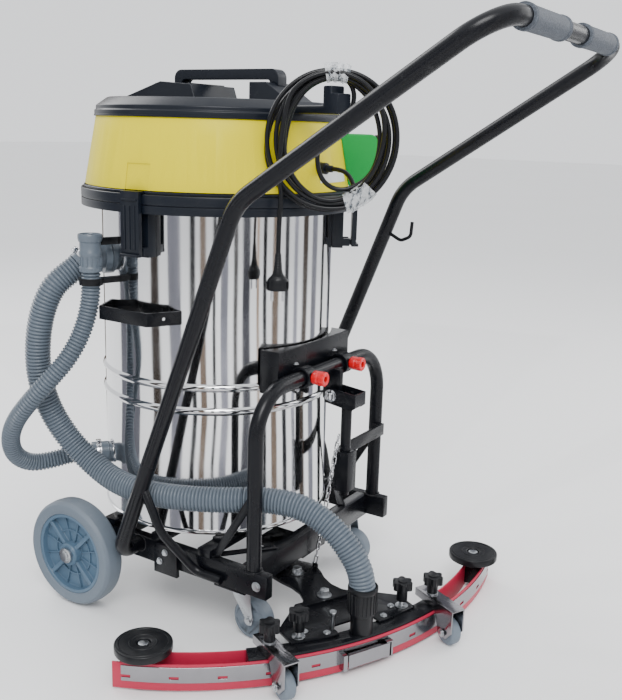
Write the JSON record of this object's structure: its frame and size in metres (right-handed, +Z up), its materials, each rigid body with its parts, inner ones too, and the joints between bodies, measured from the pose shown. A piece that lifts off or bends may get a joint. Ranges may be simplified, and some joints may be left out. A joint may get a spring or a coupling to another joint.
{
  "type": "industrial wet-dry vacuum trolley",
  "caption": "Wet-dry vacuum: steel tank and motor head on a two-wheel trolley with push handle, swinging curved floor squeegee, hoses and mains cord.",
  "frame": {"origin": "on the floor, under the middle of the machine without its hoses and cord", "axes": "+Z up, +Y towards the big wheels, -Y towards the operator, +X to the operator's right"},
  "size_m": [0.7564, 0.932, 1.0735],
  "materials": {
    "frame_black": "semi-gloss black powder coat",
    "stainless": "mirror polished stainless steel",
    "plated_steel": "zinc plated",
    "strap_steel": "brushed stainless steel",
    "head_black": "moulded black plastic, fine grain",
    "cowl_yellow": "moulded yellow plastic",
    "panel_green": "moulded green plastic",
    "motor_metal": "cast",
    "filter_cloth": "felt",
    "hose_grey": "corrugated grey hose plastic",
    "cord_black": "black rubber",
    "tyre_grey": "solid grey rubber",
    "grip_grey": "ribbed grip rubber",
    "blade_red": "red squeegee rubber",
    "cap_red": "red plastic",
    "knob_black": "black moulded plastic"
  },
  "bodies": {
    "root": {"chassis_rails": "frame_black", "chassis_members": "frame_black", "wheel_axle": "plated_steel", "lift_frame": "frame_black", "handle_bar": "frame_black", "handle_grips": "grip_grey", "tank": "stainless", "tank_collar": "head_black", "tool_bracket": "frame_black", "tank_fittings": "hose_grey", "frame_clamps": "frame_black", "clamp_knobs": "cap_red", "lift_guide": "frame_black", "head_flange": "head_black", "cowl": "cowl_yellow", "lid": "head_black", "carrying_handle": "head_black", "side_panel": "panel_green", "cord_hook": "head_black", "cord_gland": "head_black", "motors": "motor_metal", "filter_basket": "filter_cloth", "hose_holder": "knob_black", "drain_cuff": "hose_grey", "drain_hose": "hose_grey", "suction_hose": "hose_grey", "cord_coil": "cord_black", "cord_lead": "cord_black", "cord_tail": "cord_black", "mains_plug": "cord_black", "lift_chain": "plated_steel"},
    "wheel_left_body": {"wheel_left": "tyre_grey"},
    "wheel_right_body": {"wheel_right": "tyre_grey"},
    "castor_left": {"castor_fork_left": "plated_steel"},
    "castor_right": {"castor_fork_right": "plated_steel"},
    "castor_left_roll": {"castor_wheel_left": "tyre_grey"},
    "castor_right_roll": {"castor_wheel_right": "tyre_grey"},
    "left_latch": {"latch_left": "head_black"},
    "rear_latch": {"latch_rear": "head_black"},
    "right_latch": {"latch_right": "head_black"},
    "lever": {"lift_lever": "frame_black"},
    "rod": {"lift_rod": "frame_black"},
    "swing_block": {"swing_clevis": "frame_black", "suction_hose_end": "hose_grey"},
    "squeegee": {"squeegee_arm": "frame_black", "squeegee_body": "frame_black", "squeegee_blades": "blade_red", "blade_straps": "strap_steel", "squeegee_fasteners": "plated_steel", "roller_brackets": "strap_steel", "hose_cuff": "knob_black"},
    "latch_lever": {"toggle_latch": "strap_steel"},
    "left_bumper": {"bumper_left": "knob_black"},
    "right_bumper": {"bumper_right": "knob_black"},
    "left_roller": {"roller_left": "tyre_grey"},
    "right_roller": {"roller_right": "tyre_grey"},
    "outer_knob_left": {"knob_outer_left": "knob_black"},
    "outer_knob_right": {"knob_outer_right": "knob_black"},
    "inner_knob_left": {"knob_inner_left": "knob_black"},
    "inner_knob_right": {"knob_inner_right": "knob_black"}
  },
  "joints": [
    {"name": "wheel_left_spin", "type": "hinge", "parent": "root", "child": "wheel_left_body", "pos_m": [-0.1988, 0.3385, 0.104], "axis": [1, 0, 0], "continuous": true},
    {"name": "wheel_right_spin", "type": "hinge", "parent": "root", "child": "wheel_right_body", "pos_m": [0.3452, 0.3385, 0.104], "axis": [1, 0, 0], "continuous": true},
    {"name": "castor_left_swivel", "type": "hinge", "parent": "root", "child": "castor_left", "pos_m": [-0.1068, 0.0065, 0.09], "axis": [0, 0, 1], "continuous": true},
    {"name": "castor_left_spin", "type": "hinge", "parent": "castor_left", "child": "castor_left_roll", "pos_m": [-0.1068, -0.0175, 0.0375], "axis": [1, 0, 0], "continuous": true},
    {"name": "castor_right_swivel", "type": "hinge", "parent": "root", "child": "castor_right", "pos_m": [0.2532, 0.0065, 0.09], "axis": [0, 0, 1], "continuous": true},
    {"name": "castor_right_spin", "type": "hinge", "parent": "castor_right", "child": "castor_right_roll", "pos_m": [0.2532, -0.0175, 0.0375], "axis": [1, 0, 0], "continuous": true},
    {"name": "left_latch_open", "type": "hinge", "parent": "root", "child": "left_latch", "pos_m": [-0.17419, 0.1922, 0.693], "axis": [0.0698, -0.9976, 0], "range_deg": [0, 80]},
    {"name": "rear_latch_open", "type": "hinge", "parent": "root", "child": "rear_latch", "pos_m": [0.21188, 0.0039, 0.693], "axis": [0.829, 0.5592, 0], "range_deg": [0, 80]},
    {"name": "right_latch_open", "type": "hinge", "parent": "root", "child": "right_latch", "pos_m": [0.18192, 0.4324, 0.693], "axis": [-0.8988, 0.4384, 0], "range_deg": [0, 80]},
    {"name": "lever_lift", "type": "hinge", "parent": "root", "child": "lever", "pos_m": [0.0932, -0.0565, 0.4227], "axis": [-1, 0, 0], "range_deg": [0, 45], "deforming": ["lift_chain", "suction_hose_end", "suction_hose"]},
    {"name": "rod_rise", "type": "slide", "parent": "root", "child": "rod", "axis": [0, 0, 1], "range_m": [0, 0.019], "deforming": ["lift_chain"]},
    {"name": "squeegee_swing", "type": "hinge", "parent": "root", "child": "swing_block", "pos_m": [0.0732, 0.0595, 0.095], "axis": [0, 0, 1], "range_deg": [-4, 30], "deforming": ["suction_hose", "suction_hose_end", "lift_chain"]},
    {"name": "squeegee_lift", "type": "hinge", "parent": "swing_block", "child": "squeegee", "pos_m": [0.0732, 0.0595, 0.076], "axis": [-0.8957, 0.4446, 0], "range_deg": [0, 9.2], "deforming": ["suction_hose", "suction_hose_end", "lift_chain"]},
    {"name": "toggle_latch_open", "type": "hinge", "parent": "squeegee", "child": "latch_lever", "pos_m": [-0.04247, -0.25898, 0.027], "axis": [0, 0, 1], "range_deg": [0, 65]},
    {"name": "bumper_left_spin", "type": "hinge", "parent": "squeegee", "child": "left_bumper", "pos_m": [-0.3297, 0.04738, 0.068], "axis": [0, 0, 1], "continuous": true},
    {"name": "roller_left_spin", "type": "hinge", "parent": "squeegee", "child": "left_roller", "pos_m": [-0.23203, -0.16856, 0.025], "axis": [0.8957, -0.4446, 0], "continuous": true},
    {"name": "outer_knob_left_turn", "type": "hinge", "parent": "squeegee", "child": "outer_knob_left", "pos_m": [-0.20847, -0.12109, 0.1], "axis": [0, 0, 1], "continuous": true},
    {"name": "inner_knob_left_turn", "type": "hinge", "parent": "squeegee", "child": "inner_knob_left", "pos_m": [-0.14804, -0.13992, 0.1], "axis": [0, 0, 1], "continuous": true},
    {"name": "bumper_right_spin", "type": "hinge", "parent": "squeegee", "child": "right_bumper", "pos_m": [0.30715, -0.26875, 0.068], "axis": [0, 0, 1], "continuous": true},
    {"name": "roller_right_spin", "type": "hinge", "parent": "squeegee", "child": "right_roller", "pos_m": [0.07609, -0.32152, 0.025], "axis": [0.8957, -0.4446, 0], "continuous": true},
    {"name": "outer_knob_right_turn", "type": "hinge", "parent": "squeegee", "child": "outer_knob_right", "pos_m": [0.09965, -0.27405, 0.1], "axis": [0, 0, 1], "continuous": true},
    {"name": "inner_knob_right_turn", "type": "hinge", "parent": "squeegee", "child": "inner_knob_right", "pos_m": [0.04812, -0.2373, 0.1], "axis": [0, 0, 1], "continuous": true}
  ],
  "couplings": [
    {"joint": "rod_rise", "follows": "lever_lift", "m_per_rad": 0.024},
    {"joint": "squeegee_lift", "follows": "lever_lift", "ratio": 0.2}
  ]
}
